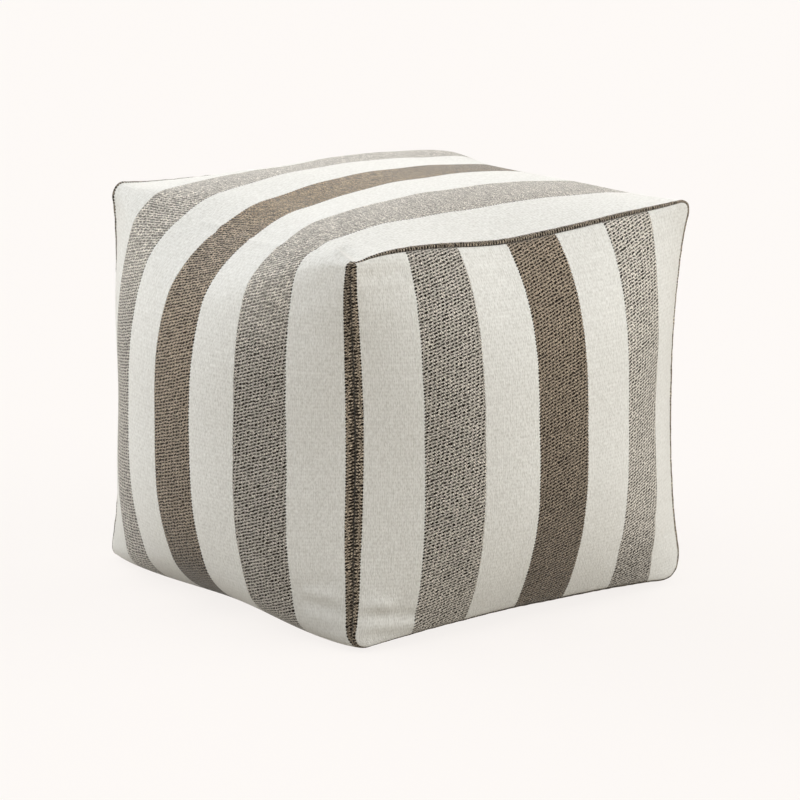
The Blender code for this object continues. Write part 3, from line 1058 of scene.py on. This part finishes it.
def light_and_shade_of_place(n, u, v, gray):
    """Painted light and shade on the coloured yarn: paler or darker, as a factor around 1."""
    brown = n.rest(gray)
    panel = on(n, v, PANEL)
    above_middle = n.math("SUBTRACT", v, 1000 * PANEL_CUT)
    rise = n.times(n.math("DIVIDE", above_middle, PANEL_HALF_HEIGHT), panel, brown)
    right_gray = n.times(panel, gray, n.smooth(u, 0, 10))
    tone = n.scaled(rise, BROWN_LIGHT_UP_PANEL, 1.0)
    tone = n.scaled(right_gray, RIGHT_GRAY_LIGHT, tone)
    tone = n.scaled(n.times(right_gray, on(n, v, LOW_ON_PANEL)), RIGHT_GRAY_FOOT_SHADE, tone)
    for yarn, changes in ((brown, BROWN_LIGHT_AND_SHADE), (gray, GRAY_LIGHT_AND_SHADE)):
        for stretch, change in changes:
            tone = n.scaled(n.times(on(n, v, stretch), yarn), change, tone)
    return tone


print(len(BROWN_LIGHT_AND_SHADE) + len(GRAY_LIGHT_AND_SHADE), "changes of tone along the band")

# %% [markdown]
# Where the cloth lies flat to the eye, its weave runs together into soft flecks, and where the top
# turns over into the left side the grains open up. Towards the far side the grains are drawn out.

# %% Flecks and loose grains
FLECKS_ON_BROWN, FLECKS_ON_GRAY = 1.4, 1.15
FLECK_SCALE = (0.10, 0.27)
SHOULDER_GRAINS = 1.0
SHOULDER_SCALE = (0.22, 0.16)
DRAWN_FROM_MIDDLE, DRAWN_ON_LEFT = -0.0009, -0.0007
NEAR_GRAY = 95.0


def flecks(n, u, v, scale, slice_of_noise):
    """Flecks from -1 to 1, with their own size across and along."""
    where = n.join(n.times(u, scale[0]), n.times(v, scale[1]), slice_of_noise)
    return n.sway(where, 1.0, 2.0, detail=1.0)


def flecked(n, u, v, gray):
    """A factor around 1 for the coloured yarn on the top and on its left shoulder."""
    strength = n.blend_value(gray, FLECKS_ON_BROWN, FLECKS_ON_GRAY)
    top = n.times(flecks(n, u, v, FLECK_SCALE, 1.9), on(n, v, TOP))
    shoulder = n.times(flecks(n, u, v, SHOULDER_SCALE, 6.3), on(n, v, SHOULDER))
    return n.times(n.scaled(top, strength, 1.0), n.scaled(shoulder, SHOULDER_GRAINS, 1.0))


def drawn_out(n, u, v):
    """The place across the cloth, with the grains drawn out towards the far side."""
    past_middle = n.math("POWER", n.math("MAXIMUM", u, 0.0), 2.0)
    past_gray = n.math("POWER", n.math("MAXIMUM", n.plus(u, NEAR_GRAY), 0.0), 2.0)
    drawn = n.scaled(past_middle, DRAWN_FROM_MIDDLE, u)
    return n.scaled(n.times(past_gray, on(n, v, LEFT_SIDE)), DRAWN_ON_LEFT, drawn)


print("flecks are", [round(1 / scale, 1) for scale in FLECK_SCALE], "mm across and along")

# %% [markdown]
# ## The striped cloth's material
#
# From the middle line outwards the stripes are brown, white, gray, white, and then the dark edge
# strip, which is the coarse weave once more in darker yarn. The distance from the middle line picks
# the yarn colours, and the weave then decides where the pale yarn and where the dark yarn lies on
# top. A stripe's edge wanders a little and steps in and out with the rows.

# %% Stripes
EDGE_BLUR = 0.35
EDGE_STEP, EDGE_WANDER = 1.2, 1.2
TURN_WIDTH = 2.2
HALF_STRIPE = 1000 * STRIPE / 2


def stripes(n, u, v, row):
    """Where the cloth is coloured, where that is gray, and where the dark yarn turns back."""
    steps = n.scaled(row, EDGE_STEP, -EDGE_STEP / 2)
    stepped = n.plus(u, steps, n.sway(n.join(u, v), 0.03, EDGE_WANDER))
    # Coloured stripes come back every four half stripes.
    past = n.math("FLOORED_MODULO", n.plus(stepped, 6 * HALF_STRIPE), 4 * HALF_STRIPE)
    begun, ended = (
        n.smooth(past, edge * HALF_STRIPE - EDGE_BLUR, edge * HALF_STRIPE + EDGE_BLUR)
        for edge in (1, 3)
    )
    gray = n.smooth(n.math("ABSOLUTE", u), 2 * HALF_STRIPE - 1, 2 * HALF_STRIPE + 1)
    # Each starts with a column of dark teeth.
    turn = n.smooth(past, HALF_STRIPE + TURN_WIDTH, HALF_STRIPE)
    return n.math("SUBTRACT", begun, ended), gray, n.times(turn, n.smooth(row, 0.2, 0.6))


print("a stripe is", 2 * HALF_STRIPE, "mm wide")

# %% [markdown]
# Each yarn has a low colour, in the hollows of the weave, and a high one, where it lies on top.

# %% Yarn colours
WHITE_LOW, WHITE_HIGH = (0.64, 0.64, 0.605, 1), (0.92, 0.93, 0.905, 1)
# The white in the painted shade near the floor.
WHITE_IN_FLOOR_SHADE = (0.50, 0.50, 0.475, 1)
GRAY_LOW, GRAY_HIGH = (0.010, 0.007, 0.004, 1), (1.0, 0.95, 0.86, 1)
BROWN_LOW, BROWN_HIGH = (0.006, 0.003, 0.001, 1), (0.62, 0.515, 0.395, 1)
# A painted lit copy of the brown for the top, warmer, against the gray that the sheen lays on it.
BROWN_LIT_ON_TOP = (0.73, 0.525, 0.29, 1)
EDGE_LOW, EDGE_HIGH = (0.012, 0.008, 0.005, 1), (0.74, 0.63, 0.49, 1)
# How much deeper the brown is in its hollows, and how much paler the gray is painted on the top, a
# painted sheen.
BROWN_DEPTH, GRAY_SHEEN_ON_TOP = 0.35, 0.15
# How strongly shade is painted into the white near the floor.
WHITE_FLOOR_SHADE = 0.45
EDGE_WEAVE = {"grain_length": 7.0, "row_height": 3.45, "climb": 0.15, "lean": 0.0, "wander": 0.15}
EDGE_TEETH = 0.9
# The seam swallows the edge strip from this far in, give or take.
CREASE, CREASE_BLUR, CREASE_WANDER = 9.0, 2.0, 3.0
# How much the edge strip is darkened on the top, and how strongly shade is painted into it near the
# floor.
EDGE_ON_TOP, EDGE_FLOOR_SHADE = -0.35, -0.50


def coloured_yarn(n, u, v, weave, gray, turn):
    """The colour of the brown and gray stripes, with painted light and shade."""
    kept = n.rest(turn)
    pale = n.times(weave["Pale"], kept)
    pale = n.math("POWER", pale, n.scaled(gray, -BROWN_DEPTH, 1 + BROWN_DEPTH))
    pale = n.times(pale, light_and_shade_of_place(n, u, v, gray), flecked(n, u, v, gray))
    # Painted sheen makes the gray paler on the top, and the brown on the flat top is a painted lit
    # copy.
    pale = n.blend_value(n.times(on(n, v, TOP), gray, kept, GRAY_SHEEN_ON_TOP), pale, 1.0)
    brown_high = n.blend(on(n, v, FLAT_TOP), BROWN_HIGH, BROWN_LIT_ON_TOP)
    low, high = n.blend(gray, BROWN_LOW, GRAY_LOW), n.blend(gray, brown_high, GRAY_HIGH)
    return n.blend(pale, low, high)


def white_yarn(n, v, weave):
    """The colour of the white stripes, with painted shade near the floor."""
    white = n.blend(weave["Pale"], WHITE_LOW, WHITE_HIGH)
    return n.blend(n.times(shade_near_floor(n, v), WHITE_FLOOR_SHADE), white, WHITE_IN_FLOOR_SHADE)


def edge_strip(n, u, v, weave):
    """Where the edge strip lies, and its colour, with painted shade near the floor."""
    depth = n.math("SUBTRACT", n.math("ABSOLUTE", u), 1000 * STRIPED_HALF)
    teeth = n.scaled(weave["Row"], EDGE_TEETH, -EDGE_TEETH / 2)
    edge = n.smooth(n.plus(depth, teeth), -0.3, 0.3)
    in_seam = n.plus(depth, n.sway(n.join(u, v, 3.3), 0.25, CREASE_WANDER))
    tan = n.times(
        n.smooth(weave["Pale"], 0.15, 0.95),
        n.smooth(in_seam, CREASE, CREASE - CREASE_BLUR),
        n.scaled(on(n, v, TOP), EDGE_ON_TOP, 1.0),
        n.scaled(shade_near_floor(n, v), EDGE_FLOOR_SHADE, 1.0),
    )
    return edge, n.blend(tan, EDGE_LOW, EDGE_HIGH)


print("yarns: white", WHITE_HIGH[:3], "gray", GRAY_HIGH[:3], "brown", BROWN_HIGH[:3])

# %% [markdown]
# The cloth is dull, with a soft sheen from its fuzz. The relief of the yarn is a bump under a
# millimetre high, which follows the same weaves as the colour does.

# %% Striped cloth
YARN_FINISH = {
    "Roughness": 0.92,
    "Specular IOR Level": 0.2,
    "Sheen Weight": 0.55,
    "Sheen Roughness": 0.38,
    "Sheen Tint": (1.0, 0.97, 0.92, 1),
}
YARN_RELIEF = {"Distance": 0.001, "Strength": 0.6}
WHITE_RELIEF = 0.5


def striped_material():
    material = bpy.data.materials.new("striped_cloth")
    material.use_nodes = True
    tree = material.node_tree
    shader = tree.nodes["Principled BSDF"]
    n = Nodes(tree)
    flat = tree.nodes.new("ShaderNodeUVMap")
    flat.uv_map = "Cloth"
    parts = tree.nodes.new("ShaderNodeSeparateXYZ")
    n.put(parts.inputs[0], flat.outputs[0])
    u, v = (n.times(part, 1000.0) for part in parts.outputs[:2])
    coarse = add_group(n, coarse_weave, across=drawn_out(n, u, v), along=v)
    fine = add_group(n, fine_weave, across=u, along=v)
    edging = add_group(n, coarse_weave, across=u, along=v, **EDGE_WEAVE)

    coloured, gray, turn = stripes(n, u, v, coarse["Row"])
    yarn = coloured_yarn(n, u, v, coarse, gray, turn)
    edge, edge_colour = edge_strip(n, u, v, edging)
    colour = n.blend(coloured, white_yarn(n, v, fine), yarn)
    n.put(shader.inputs["Base Color"], n.blend(edge, colour, edge_colour))
    for title, value in YARN_FINISH.items():
        shader.inputs[title].default_value = value

    bump = tree.nodes.new("ShaderNodeBump")
    for title, value in YARN_RELIEF.items():
        bump.inputs[title].default_value = value
    tall = n.times(coarse["Height"], coloured)
    tall = n.scaled(fine["Pale"], n.scaled(coloured, -WHITE_RELIEF, WHITE_RELIEF), tall)
    n.put(bump.inputs["Height"], n.scaled(edging["Height"], edge, tall))
    n.put(shader.inputs["Normal"], bump.outputs[0])
    return material


striped_cloth = striped_material()
for piece in (striped_band, front_panel, back_panel):
    piece.data.materials.append(striped_cloth)
print("material", striped_cloth.name, "has", len(striped_cloth.node_tree.nodes), "nodes")

# %% [markdown]
# ## Floor and light
#
# The stool stands on white in a bright studio. The light wraps around from behind and from both
# sides, and only a little comes from the viewer's side, so the two faces are darkest next to the
# corner in front. The floor looks white to the camera, but gives the cloth only as much light as a
# plain gray floor would, which keeps the lower parts of the bulging faces darker.

# %% Floor
FLOOR_SIZE = 40
BACKDROP = (0.991, 0.956, 0.930, 1)
FLOOR_GLOW = 0.88
VISIBLE_FLOOR = 0.11
BOUNCING_FLOOR = (0.44, 0.40, 0.34, 1)

bpy.ops.mesh.primitive_plane_add(size=FLOOR_SIZE, location=(0, 0, 0))
floor = bpy.context.object
floor.name = "floor"
floor_material = bpy.data.materials.new("white_floor")
floor_material.use_nodes = True
floor_nodes = Nodes(floor_material.node_tree)
floor_shader = floor_material.node_tree.nodes["Principled BSDF"]
floor_shader.inputs["Roughness"].default_value = 1.0
floor_shader.inputs["Specular IOR Level"].default_value = 0.0
floor_shader.inputs["Emission Color"].default_value = BACKDROP
seen = floor_material.node_tree.nodes.new("ShaderNodeLightPath").outputs["Is Camera Ray"]
visible = tuple(VISIBLE_FLOOR * value for value in BACKDROP[:3]) + (1,)
floor_colour = floor_nodes.blend(seen, BOUNCING_FLOOR, visible)
floor_nodes.put(floor_shader.inputs["Base Color"], floor_colour)
glow = floor_nodes.times(seen, FLOOR_GLOW)
floor_nodes.put(floor_shader.inputs["Emission Strength"], glow)
floor.data.materials.append(floor_material)
print("floor is", floor.dimensions[0], "m wide")

# %% [markdown]
# Each light is a very wide sun, so it has soft shadows and reaches the whole floor evenly.

# %% Lights
LIGHTS = (
    # name, direction that it comes from and height above the floor in degrees, strength, colour
    ("light_behind_left", 135, 18, 0.48, (0.98, 1.0, 1.02)),
    ("light_behind", 90, 18, 0.50, (0.99, 1.0, 1.01)),
    ("light_right", 0, 18, 0.17, (1.01, 1.0, 0.99)),
    ("light_front_right", -45, 18, 0.57, (1.02, 1.0, 0.96)),
    ("light_front", -127, 50, 0.20, (1.02, 1.0, 0.96)),
)
SOFTNESS = 60
LIGHT_DISTANCE = 2
ROOM_LIGHT = 0.375


def soft_light(name, direction, height, strength, colour):
    light = bpy.data.lights.new(name, "SUN")
    light.angle = math.radians(SOFTNESS)
    light.energy = strength * math.pi
    light.color = colour
    lamp = bpy.data.objects.new(name, light)
    turn, rise = math.radians(direction), math.radians(height)
    way = Vector((math.cos(turn) * math.cos(rise), math.sin(turn) * math.cos(rise), math.sin(rise)))
    lamp.location = LIGHT_DISTANCE * way
    lamp.rotation_euler = way.to_track_quat("Z", "Y").to_euler()
    bpy.context.scene.collection.objects.link(lamp)


for row in LIGHTS:
    soft_light(*row)
studio = bpy.data.worlds.new("studio")
bpy.context.scene.world = studio
studio.use_nodes = True
studio_nodes = Nodes(studio.node_tree)
room = studio.node_tree.nodes["Background"]
room.inputs["Color"].default_value = BACKDROP
seen = studio.node_tree.nodes.new("ShaderNodeLightPath").outputs["Is Camera Ray"]
room_strength = studio_nodes.scaled(seen, 1 - ROOM_LIGHT, ROOM_LIGHT)
studio_nodes.put(room.inputs["Strength"], room_strength)
bpy.context.scene.view_settings.view_transform = "Standard"
print("lights:", [light.name for light in bpy.data.lights])

# %% [markdown]
# ## Putting the pieces in place
#
# Every piece rides on the stool's one body and takes the place of its plain solid. The band holds
# the filling, and the two panels are stretched sheets.

for piece, node in (
    (striped_band, "filled_band"),
    (front_panel, "end_panel_front"),
    (back_panel, "end_panel_back"),
):
    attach(piece, "root")
    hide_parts(node)
